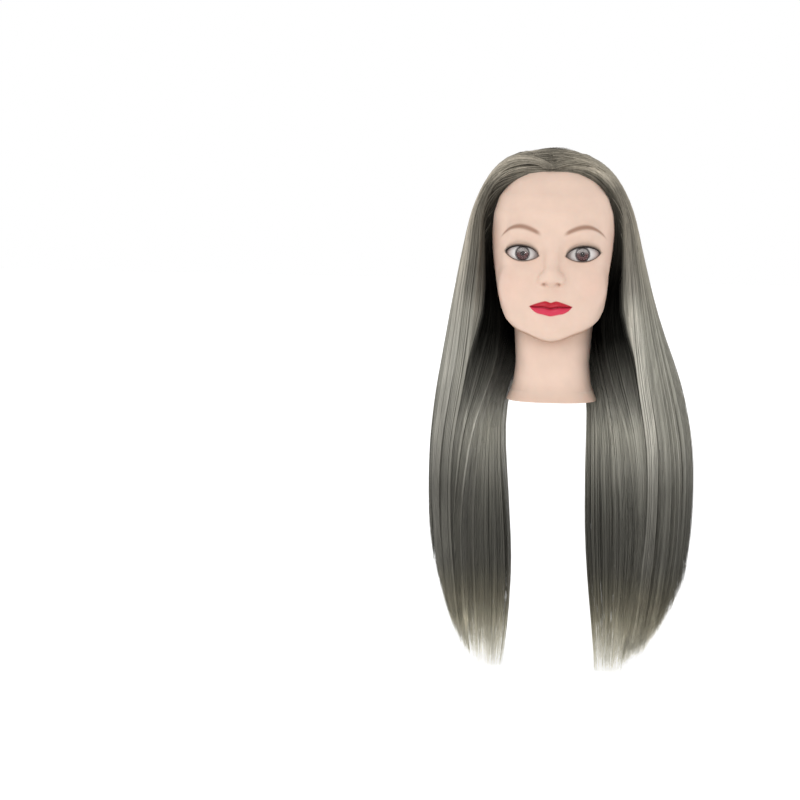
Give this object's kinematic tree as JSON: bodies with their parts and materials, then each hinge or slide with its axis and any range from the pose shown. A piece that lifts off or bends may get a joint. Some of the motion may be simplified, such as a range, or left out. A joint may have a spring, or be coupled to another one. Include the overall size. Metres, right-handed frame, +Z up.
{
  "type": "mannequin training head",
  "caption": "Life-size soft-vinyl practice head with long straight rooted hair parted into two hanging curtains, on a cut neck with a blind socket for a stand's post.",
  "frame": {"origin": "centre of the post socket's mouth, on the plane the neck is cut to", "axes": "+Z up through the crown, the face looks along -Y, +X is the head's own left"},
  "size_m": [0.3123, 0.2213, 0.6105],
  "materials": {
    "skin_vinyl": "satin",
    "plug_plastic": "matte",
    "socket_plastic": "matte",
    "foam": "matte",
    "eye_white": "gloss",
    "iris": "gloss",
    "cornea": "clear",
    "lash": "matte",
    "hair": "satin"
  },
  "bodies": {
    "root": {"head_shell": "skin_vinyl", "neck_plug": "plug_plastic", "post_socket": "socket_plastic", "foam_core": "foam", "eye_white_right": "eye_white", "iris_right": "iris", "cornea_right": "cornea", "lash_strip_upper_right": "lash", "lash_strip_lower_right": "lash", "eye_white_left": "eye_white", "iris_left": "iris", "cornea_left": "cornea", "lash_strip_upper_left": "lash", "lash_strip_lower_left": "lash", "hair_front_right": "hair", "hair_side_right": "hair", "hair_back_right": "hair", "hair_front_left": "hair", "hair_side_left": "hair", "hair_back_left": "hair"}
  },
  "joints": []
}
